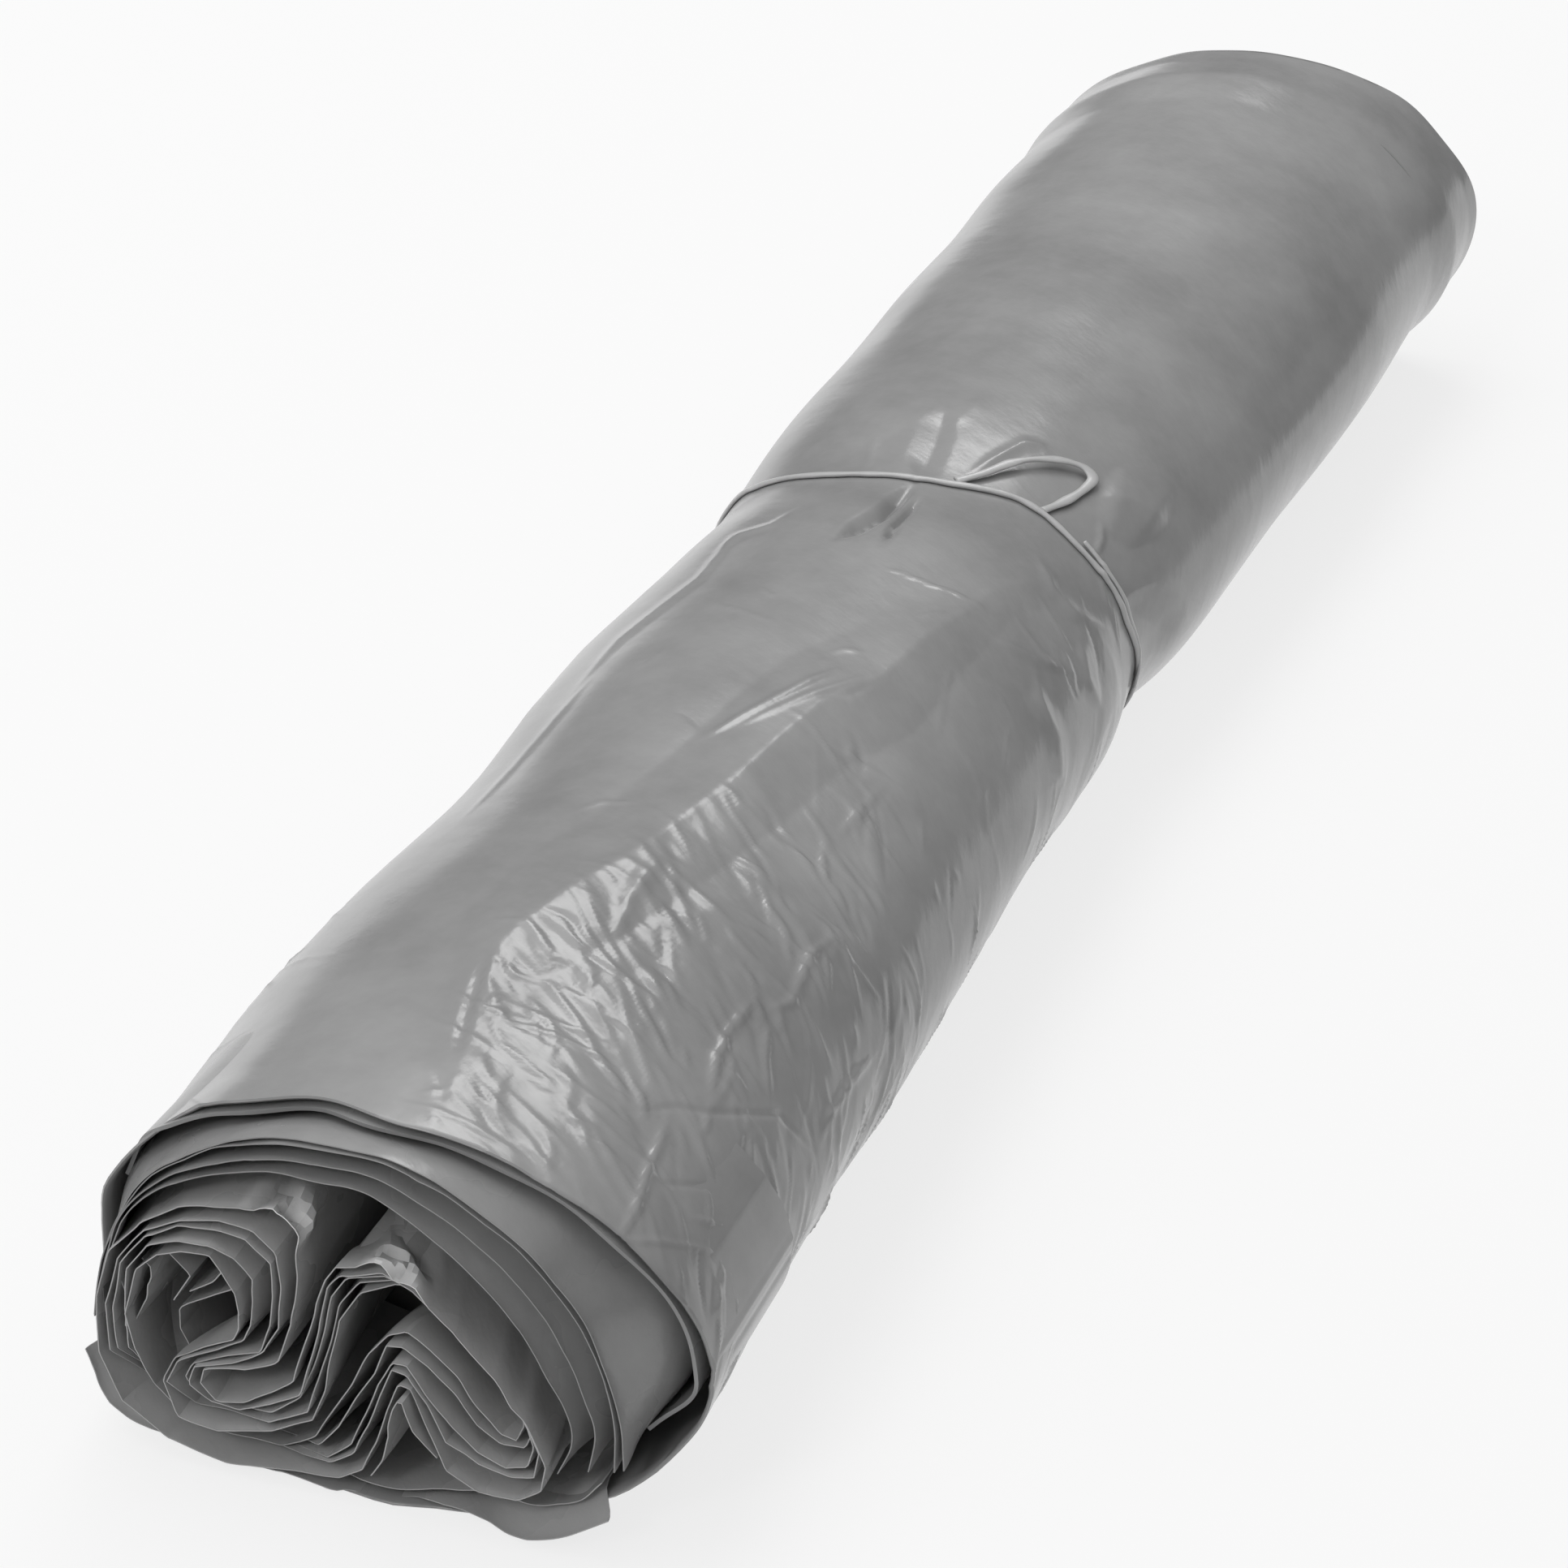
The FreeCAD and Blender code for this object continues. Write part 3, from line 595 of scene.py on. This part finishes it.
def build_turn(name, tip_line, material, side=-1, closed=False, back=0.0, ragged=0.5, seed=0,
               root_line=None, slack=0.45, own=0.16, flare=0.6, creased=False, rim=None, peaks=(), film=FILM):
    """One turn of film that stands in an end: a sheet along a fold line, from its root to its uneven rim.
    back tells how far the rim lies behind the end, at each point of the line or everywhere. A creased turn runs
    straight from point to point.
    rim gives the rim's places instead, and peaks are crumpled spots whose colour is also turned near white, a
    painted highlight."""
    if side > 0:
        tip_line = fit_far(tip_line)
        root_line = fit_far(root_line) if root_line is not None else None
    root_line = tip_line if root_line is None else root_line
    length = np.linalg.norm(np.diff(np.array(tip_line), axis=0), axis=1).sum()
    spacing = 0.5 if side < 0 else 0.9
    columns = int(length / spacing)
    depth = (NEAR_DEPTH if side < 0 else FAR_DEPTH) + 0.5
    steps = np.array((0, 0.012, 0.03, 0.06, 0.1, 0.15, 0.21, 0.28, 0.36, 0.45, 0.55, 0.66, 0.78, 0.9, 1.0))
    run = straight_runs if creased else spline
    tip, root = run(tip_line, columns, closed), run(root_line, columns, closed)
    places = np.arange(columns) * spacing
    uneven = kinks(places, 9.0, 40 + seed) + 0.35 * kinks(places, 2.6, 60 + seed)
    knots = np.linspace(0, 1, len(tip_line), endpoint=not closed)
    if not np.isscalar(back):
        spans = np.array(tip_line + tip_line[:1] if closed else tip_line)
        knots = np.concatenate(((0.0,), np.cumsum(np.linalg.norm(np.diff(spans, axis=0), axis=1))))
        back = list(back) + [back[0]] if closed else back
        back = np.interp(np.linspace(0, knots[-1], columns, endpoint=not closed), knots, back)
    if rim is None:
        rim = side * (ROLL_END - back - ragged * (1 + uneven) / 2)
    else:
        rim = np.interp(np.linspace(0, 1, columns), np.linspace(0, 1, len(rim)), rim) + ragged * 0.3 * uneven
    base = np.full(columns, side * (ROLL_END - depth))
    rows = []
    for step in steps:
        line = tip + (root - tip) * smooth_step(np.array(step), 0.0, flare)
        rows.append(np.concatenate(((rim + (base - rim) * step)[:, None], line), axis=1))
    middle = np.array(rows)
    flat = middle.reshape(-1, 3)
    along = np.tile(places, len(steps))
    move = slack * waves(flat * (0.6, 1, 1), 13, 80) * 0.5
    move += own * np.tile(kinks(places, 4.0, 80 + seed), len(steps))
    move += 0.7 * own * facets(flat[:, 0], along, 3.4, 100 + seed, 1.7, 20)
    # Painted highlight: how far the colour is turned near white at the crumpled peaks.
    painted_glint = np.zeros(len(flat))
    for y, z, reach, height in peaks:
        gap = np.linalg.norm((flat - (-ROLL_END + 1.8, y, z)) * (0.8, 1.0, 1.0), axis=1)
        spot = np.clip(1 - gap / reach, 0, 1)
        crumple = facets(flat[:, 0], along, 1.7, 120 + seed, 1.4, 60)
        move -= height * spot * (0.4 + 1.3 * crumple)
        painted_glint += np.clip(1.7 * spot * (0.6 + 0.9 * crumple), 0, 1)
    move = move.reshape(len(steps), columns) * (1 - 0.6 * steps[:, None])
    sides = np.stack([line_normals(row[:, 1:], closed) for row in middle])
    sides = np.concatenate((np.zeros(sides.shape[:2] + (1,)), sides), axis=2)
    faces = []
    points = []
    for reach in (film / 2, -film / 2):
        sheet = middle + sides * (move + reach)[:, :, None]
        sheet[:, :, 2] = np.maximum(sheet[:, :, 2], 0.1)
        points.append(sheet.reshape(-1, 3))
    count = len(steps) * columns
    outward = side > 0
    faces += grid_faces(len(steps), columns, closed, 0, flip=outward)
    faces += grid_faces(len(steps), columns, closed, count, flip=not outward)
    last = (len(steps) - 1) * columns
    spans = range(columns if closed else columns - 1)
    for first in (0, last):
        for k in spans:
            a, b = first + k, first + (k + 1) % columns
            quad = (a, b, b + count, a + count)
            faces.append(quad[::-1] if (first == 0) == (not outward) else quad)
    if not closed:
        for first, turned in ((0, outward), (columns - 1, not outward)):
            for j in range(len(steps) - 1):
                a, b = first + j * columns, first + (j + 1) * columns
                quad = (a, b, b + count, a + count)
                faces.append(quad if turned else quad[::-1])
    turn = make_piece(name, np.concatenate(points), faces, material, sharp=18 if creased else 40)
    # Store the painted highlight share for the film material.
    white = turn.data.attributes.new("painted_glint", "FLOAT", "POINT")
    white.data.foreach_set("value", np.tile(painted_glint, 2).astype(np.float32))
    return turn


def build_near_turns(material, painted_light_material):
    """All the film turns that show in the near end. The inner turns take a lighter copy of the film, painted light
    for their shaded folds.
    """
    pieces = []
    arch = spline(OUTER_ARCH, 40, False)
    inner_arch = spline(INNER_ARCH, 40, False)
    lip, lip_rim = wrap_line(1.35, -120, 72)
    pieces.append(build_turn("wrap_lip", lip, material, rim=lip_rim, seed=50, ragged=0.3, slack=0.1, own=0.04,
                             film=RIM_FILM))
    for k, share in enumerate((0.0, 0.12, 0.55, 1.0)):
        tip = blend_lines(arch, inner_arch, share)
        pieces.append(build_turn(f"outer_turn_{k + 1}", tip, material, back=1.1 - 0.35 * k, seed=k,
                                 root_line=flared_line(tip, 3.0 + 0.4 * k), ragged=0.5, own=0.1, slack=0.3,
                                 flare=0.42))
    rng = np.random.default_rng(31)
    for k, share in enumerate((0.0, 0.3, 0.46, 0.78, 1.0)):
        jitter = rng.normal(0, 0.16 if k else 0.0, size=(len(BUCKLED_LINE), 2))
        tip = blend_lines(BUCKLED_LINE, INNER_LINE, share)
        back = []
        for n, (y, z) in enumerate(tip):
            bowl = 4.0 * 4 * share * (1 - share) * float(smooth_step(y, 4.0, 12.0) * smooth_step(-z, -9.0, -5.0))
            back.append(-1.7 + 0.045 * z + share * BUCKLED_BACK[n] + bowl)
        tip = [(y + a, z + b) for (y, z), (a, b) in zip(tip, jitter)]
        root = blend_lines(BUCKLED_LINE, INNER_LINE, 0.5 * share)
        if k == 0:
            root = flared_line(root, 4.5, 0.5)
        pieces.append(build_turn(f"buckled_turn_{k + 1}", tip, painted_light_material, closed=True, back=back,
                                 seed=10 + k, ragged=0.6, own=0.14 if k == 0 else 0.1, slack=0.25, creased=True,
                                 root_line=root, peaks=PEAKS if k == 0 else (), flare=0.7))
    for k, (line, back) in enumerate(COIL_FOLDS):
        pieces.append(build_turn(f"coil_turn_{k + 1}", list(line), painted_light_material, back=back, seed=20 + k,
                                 ragged=0.5, own=0.08, slack=0.2, creased=True))
    pieces.append(build_turn("flap_turn", FLAP_LINE, painted_light_material, back=-1.8, seed=26, ragged=1.2,
                             creased=True))
    pieces.append(build_turn("floor_turn_1", FLOOR_LINE, painted_light_material, back=-0.8, seed=27, ragged=2.4,
                             root_line=flared_line(FLOOR_LINE, 0.6), flare=0.2))
    pieces.append(build_turn("floor_turn_2", FLOOR_LINE_TWO, painted_light_material, back=0.2, seed=28, ragged=2.0))
    return pieces


def build_far_turns(material):
    """The same turns where they come out at the far end."""
    pieces = []
    arch = spline(OUTER_ARCH, 40, False)
    inner_arch = spline(INNER_ARCH, 40, False)
    for k, share in enumerate((0.0, 0.45, 1.0)):
        pieces.append(build_turn(f"far_outer_turn_{k + 1}", blend_lines(arch, inner_arch, share), material,
                                 side=1, back=1.0 + 0.4 * k, seed=30 + k, ragged=0.8))
    for k, share in enumerate((0.0, 0.33, 0.66, 1.0)):
        pieces.append(build_turn(f"far_buckled_turn_{k + 1}", blend_lines(BUCKLED_LINE, INNER_LINE, share),
                                 material, side=1, closed=True, back=1.8 + 0.4 * k, seed=35 + k, ragged=0.9))
    pieces.append(build_turn("far_coil_turn", COIL_LINE, material, side=1, back=3.0, seed=40, ragged=1.2))
    return pieces


def skin_tree(halves):
    """A search tree of the wrap's two halves, in millimetres."""
    points = []
    faces = []
    for half in halves:
        start = len(points)
        points += [v.co / MM for v in half.data.vertices]
        faces += [tuple(start + k for k in p.vertices) for p in half.data.polygons]
    return BVHTree.FromPolygons(points, faces)


def smooth_route(route, count):
    """Evenly run points on a smooth curve through a route of any dimension."""
    route = np.array(route, float)
    guide = np.concatenate((2 * route[:1] - route[1:2], route, 2 * route[-1:] - route[-2:-1]))
    places = np.linspace(0, len(route) - 1, count)
    whole = np.minimum(places.astype(int), len(route) - 2)
    share = (places - whole)[:, None]
    a, b, c, d = (guide[whole + k] for k in range(4))
    return 0.5 * (2 * b + (c - a) * share + (2 * a - 5 * b + 4 * c - d) * share ** 2
                  + (3 * b - a - 3 * c + d) * share ** 3)


def strip_mesh(name, path, outs, half_width, half_thick, material, closed):
    """A flattened strand along a path, with its flat side towards outs."""
    count, corners = len(path), 10
    if closed:
        run = np.roll(path, -1, axis=0) - np.roll(path, 1, axis=0)
    else:
        run = np.gradient(path, axis=0)
    run /= np.linalg.norm(run, axis=1, keepdims=True)
    side = np.cross(run, outs)
    side /= np.linalg.norm(side, axis=1, keepdims=True)
    up = np.cross(side, run)
    wobble = 1 + 0.22 * waves(path, 5.0, 71)[:, None]
    rings = []
    for k in range(corners):
        turn = 2 * math.pi * k / corners
        rings.append(path + side * (half_width * math.cos(turn)) * wobble + up * (half_thick * math.sin(turn)))
    points = np.stack(rings, axis=1).reshape(-1, 3)
    faces = grid_faces(count, corners, True)
    if closed:
        last = (count - 1) * corners
        faces += [(last + k, last + (k + 1) % corners, (k + 1) % corners, k) for k in range(corners)]
    else:
        faces.append(tuple(range(corners))[::-1])
        faces.append(tuple(range((count - 1) * corners, count * corners)))
    return make_piece(name, points, faces, material, sharp=0)


def on_skin(tree, x, angle, lift):
    """Points that lie lift above the wrap at places x and angles, with the directions out of it."""
    form, normals = skin_form(x, angle), skin_normals(x, angle)
    points = []
    for place, out in zip(form, normals):
        start = Vector(place + out * 6)
        hit = tree.ray_cast(start, Vector(-out), 14)[0]
        base = np.array(hit) if hit is not None else place
        points.append(base + out * lift)
    return np.array(points), normals


def build_band(wrap, material):
    """The thin tie of film round the waist, its second strand and its small drawn loop."""
    tree = skin_tree(wrap)
    route = smooth_route(BAND_ROUTE, 500)[:-1]
    ring, outs = on_skin(tree, route[:, 0], np.radians(route[:, 1]), 0.28)
    ring[:, 2] = np.maximum(ring[:, 2], 0.45)
    pieces = [strip_mesh("tie_band_ring", ring, outs, 0.52, 0.3, material, True)]
    second = smooth_route(SECOND_ROUTE, 90)
    strand, outs = on_skin(tree, second[:, 0], np.radians(second[:, 1]), 0.5)
    pieces.append(strip_mesh("tie_band_tail", strand, outs, 0.4, 0.2, material, False))
    loop = smooth_route(LOOP_ROUTE, 120)
    points = []
    for x, y, lift in loop:
        hit = tree.ray_cast(Vector((x, y, 80)), Vector((0, 0, -1)), 90)[0]
        points.append((x, y, hit.z + lift))
    outs = np.tile((0.0, -0.3, 1.0), (len(points), 1))
    pieces.append(strip_mesh("tie_band_loop", np.array(points), outs, 0.62, 0.26, material, False))
    return pieces


def node(tree, kind, values=None, **settings):
    """Add a shader node with its socket values and settings."""
    item = tree.nodes.new(kind)
    for key, value in settings.items():
        setattr(item, key, value)
    for key, value in (values or {}).items():
        item.inputs[key].default_value = value
    return item


def film_material(name, dark, light, roughness, bump, crinkle=0.0):
    """Thin grey film: a soft uneven tone, a satin gloss that wanders, and fine creases in the surface.
    The sharp crinkles show where the mesh's crumple attribute is high. At the crumpled peaks the colour is painted
    near white, a painted highlight."""
    material = bpy.data.materials.new(name)
    material.use_nodes = True
    tree = material.node_tree
    tree.nodes.clear()
    link = tree.links.new
    output = node(tree, "ShaderNodeOutputMaterial")
    shader = node(tree, "ShaderNodeBsdfPrincipled", {"IOR": 1.5})
    place = node(tree, "ShaderNodeTexCoord")
    lean = math.radians(55)
    cloud = node(tree, "ShaderNodeTexNoise", {"Scale": 38.0, "Detail": 5.0, "Roughness": 0.65})
    tone = node(tree, "ShaderNodeValToRGB")
    tone.color_ramp.elements[0].position = 0.1
    tone.color_ramp.elements[0].color = (dark, dark, dark, 1)
    tone.color_ramp.elements[1].position = 0.9
    tone.color_ramp.elements[1].color = (light, light, light, 1)
    gloss = node(tree, "ShaderNodeTexNoise", {"Scale": 90.0, "Detail": 3.0})
    gloss_range = node(tree, "ShaderNodeMapRange", {"To Min": roughness - 0.06, "To Max": roughness + 0.08})
    stretch = node(tree, "ShaderNodeMapping", {"Scale": (3.0, 1.0, 1.0), "Rotation": (0.0, 0.0, lean)},
                   vector_type="TEXTURE")
    wrinkle = node(tree, "ShaderNodeTexNoise", {"Scale": 240.0, "Detail": 4.0, "Roughness": 0.55})
    grain = node(tree, "ShaderNodeTexNoise", {"Scale": 1500.0, "Detail": 2.0})
    mix = node(tree, "ShaderNodeMath", {1: 0.12}, operation="MULTIPLY_ADD")
    relief = node(tree, "ShaderNodeBump", {"Strength": bump, "Distance": 0.0005})
    link(place.outputs["Object"], cloud.inputs["Vector"])
    # Painted highlight: the base colour blends towards near white where the peaks are marked.
    painted_glint_share = node(tree, "ShaderNodeAttribute", attribute_name="painted_glint")
    blend = node(tree, "ShaderNodeMix", data_type="RGBA", clamp_factor=True)
    blend.inputs[7].default_value = (0.92, 0.92, 0.92, 1)
    link(cloud.outputs["Fac"], tone.inputs["Fac"])
    link(painted_glint_share.outputs["Fac"], blend.inputs["Factor"])
    link(tone.outputs["Color"], blend.inputs[6])
    link(blend.outputs[2], shader.inputs["Base Color"])
    link(place.outputs["Object"], gloss.inputs["Vector"])
    link(gloss.outputs["Fac"], gloss_range.inputs["Value"])
    link(gloss_range.outputs["Result"], shader.inputs["Roughness"])
    link(place.outputs["Object"], stretch.inputs["Vector"])
    link(stretch.outputs["Vector"], wrinkle.inputs["Vector"])
    link(place.outputs["Object"], grain.inputs["Vector"])
    link(grain.outputs["Fac"], mix.inputs[0])
    link(wrinkle.outputs["Fac"], mix.inputs[2])
    link(mix.outputs["Value"], relief.inputs["Height"])
    link(relief.outputs["Normal"], shader.inputs["Normal"])
    link(shader.outputs["BSDF"], output.inputs["Surface"])
    if crinkle:
        spread = node(tree, "ShaderNodeAttribute", attribute_name="sheet")
        slant = node(tree, "ShaderNodeMapping", {"Scale": (4.5, 1.0, 1.0), "Rotation": (0.0, 0.0, lean)},
                     vector_type="TEXTURE")
        ridges = node(tree, "ShaderNodeTexNoise", {"Scale": 210.0, "Detail": 2.0, "Roughness": 0.5})
        ridges.noise_type = "RIDGED_MULTIFRACTAL"
        share = node(tree, "ShaderNodeAttribute", attribute_name="crumple")
        height = node(tree, "ShaderNodeMath", operation="MULTIPLY")
        crease = node(tree, "ShaderNodeBump", {"Strength": crinkle, "Distance": 0.0004})
        link(spread.outputs["Vector"], slant.inputs["Vector"])
        link(spread.outputs["Vector"], stretch.inputs["Vector"])
        link(slant.outputs["Vector"], ridges.inputs["Vector"])
        link(ridges.outputs["Fac"], height.inputs[0])
        link(share.outputs["Fac"], height.inputs[1])
        link(height.outputs["Value"], crease.inputs["Height"])
        link(crease.outputs["Normal"], relief.inputs["Normal"])
    return material


def build_floor():
    """A wide pale floor that keeps the roll's soft shadow and shows white."""
    size = 3000.0
    points = [(-size, -size, 0), (size, -size, 0), (size, size, 0), (-size, size, 0)]
    material = bpy.data.materials.new("pale_floor")
    material.use_nodes = True
    tree = material.node_tree
    tree.nodes.clear()
    output = node(tree, "ShaderNodeOutputMaterial")
    plain = node(tree, "ShaderNodeBsdfDiffuse", {"Color": (0.8, 0.8, 0.8, 1)})
    white = node(tree, "ShaderNodeEmission", {"Color": (1, 1, 1, 1), "Strength": 1.0})
    path = node(tree, "ShaderNodeLightPath")
    share = node(tree, "ShaderNodeMath", {1: 0.78}, operation="MULTIPLY")
    seen = node(tree, "ShaderNodeMath", operation="MAXIMUM")
    mix = node(tree, "ShaderNodeMixShader")
    tree.links.new(path.outputs["Is Camera Ray"], share.inputs[0])
    tree.links.new(share.outputs["Value"], seen.inputs[0])
    tree.links.new(path.outputs["Is Glossy Ray"], seen.inputs[1])
    tree.links.new(seen.outputs["Value"], mix.inputs["Fac"])
    tree.links.new(plain.outputs["BSDF"], mix.inputs[1])
    tree.links.new(white.outputs["Emission"], mix.inputs[2])
    tree.links.new(mix.outputs["Shader"], output.inputs["Surface"])
    floor = make_piece("floor", points, [(0, 1, 2, 3)], material, sharp=0)


def build_world():
    """Grey surroundings, brighter overhead, with a white background behind the roll."""
    world = bpy.data.worlds.new("studio")
    bpy.context.scene.world = world
    world.use_nodes = True
    tree = world.node_tree
    tree.nodes.clear()
    output = node(tree, "ShaderNodeOutputWorld")
    place = node(tree, "ShaderNodeTexCoord")
    split = node(tree, "ShaderNodeSeparateXYZ")
    ramp = node(tree, "ShaderNodeValToRGB")
    ramp.color_ramp.elements[0].position = 0.18
    ramp.color_ramp.elements[0].color = (0.09, 0.09, 0.09, 1)
    ramp.color_ramp.elements[1].position = 0.85
    ramp.color_ramp.elements[1].color = (0.9, 0.9, 0.9, 1)
    sky = node(tree, "ShaderNodeBackground", {"Strength": 0.7})
    white = node(tree, "ShaderNodeBackground", {"Color": (1, 1, 1, 1), "Strength": 1.0})
    path = node(tree, "ShaderNodeLightPath")
    mix = node(tree, "ShaderNodeMixShader")
    tree.links.new(place.outputs["Generated"], split.inputs["Vector"])
    tree.links.new(split.outputs["Z"], ramp.inputs["Fac"])
    tree.links.new(ramp.outputs["Color"], sky.inputs["Color"])
    tree.links.new(path.outputs["Is Camera Ray"], mix.inputs["Fac"])
    tree.links.new(sky.outputs["Background"], mix.inputs[1])
    tree.links.new(white.outputs["Background"], mix.inputs[2])
    tree.links.new(mix.outputs["Shader"], output.inputs["Surface"])


def add_lamp(name, place, aim, size, power):
    """A square soft box at place that shines towards aim, in metres and watts."""
    data = bpy.data.lights.new(name, "AREA")
    data.shape = "SQUARE"
    data.size = size
    data.energy = power
    lamp = bpy.data.objects.new(name, data)
    lamp.location = place
    lamp.rotation_euler = (Vector(aim) - Vector(place)).to_track_quat("-Z", "Y").to_euler()
    bpy.context.scene.collection.objects.link(lamp)


def add_camera():
    """The camera at the photograph's viewing angle."""
    forward, right, up = camera_axes()
    data = bpy.data.cameras.new("camera")
    data.sensor_width = SENSOR
    data.lens = SENSOR * FOCAL_PIXELS / PHOTO_SIZE
    data.clip_start = 0.01
    camera = bpy.data.objects.new("camera", data)
    turn = Matrix((right, up, -forward)).transposed().to_4x4()
    camera.matrix_world = Matrix.Translation(Vector(CAMERA_PLACE * MM)) @ turn
    bpy.context.scene.collection.objects.link(camera)
    bpy.context.scene.camera = camera


def main():
    film = film_material("grey_film", 0.2, 0.42, 0.22, 0.2, crinkle=0.5)
    turn_film = film_material("grey_film_turns", 0.21, 0.37, 0.26, 0.25)
    # Painted light: a lighter copy of the turns' film for the inner turns, so that their shaded folds deep in the
    # near end show brighter.
    painted_light_inner_film = film_material("grey_film_inner_turns_painted_light", 0.37, 0.53, 0.26, 0.25)
    band_film = film_material("grey_film_band", 0.46, 0.55, 0.28, 0.4)
    wrap = build_wrap(film)
    turns = build_near_turns(turn_film, painted_light_inner_film) + build_far_turns(turn_film)
    for piece in wrap + turns:
        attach(piece, "root")
        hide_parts("bag_roll")
    for piece in build_band(wrap, band_film):
        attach(piece, "root")
        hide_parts("tie_band")
    build_floor()
    build_world()
    add_lamp("top_box", (0.1, 0.35, 1.05), (0, 0, 0), 0.8, 3.8)
    add_lamp("left_box", (-0.5, 0.9, 0.55), (-0.05, 0, 0.02), 0.8, 1.7)
    add_lamp("back_box", (0.78, 0.22, 0.98), (-0.03, 0, 0.03), 0.42, 3.2)
    add_lamp("front_box", (-0.95, 0.2, 0.75), (-0.14, 0, 0.02), 0.26, 1.6)
    add_camera()
    bpy.context.scene.view_settings.view_transform = "Standard"


main()
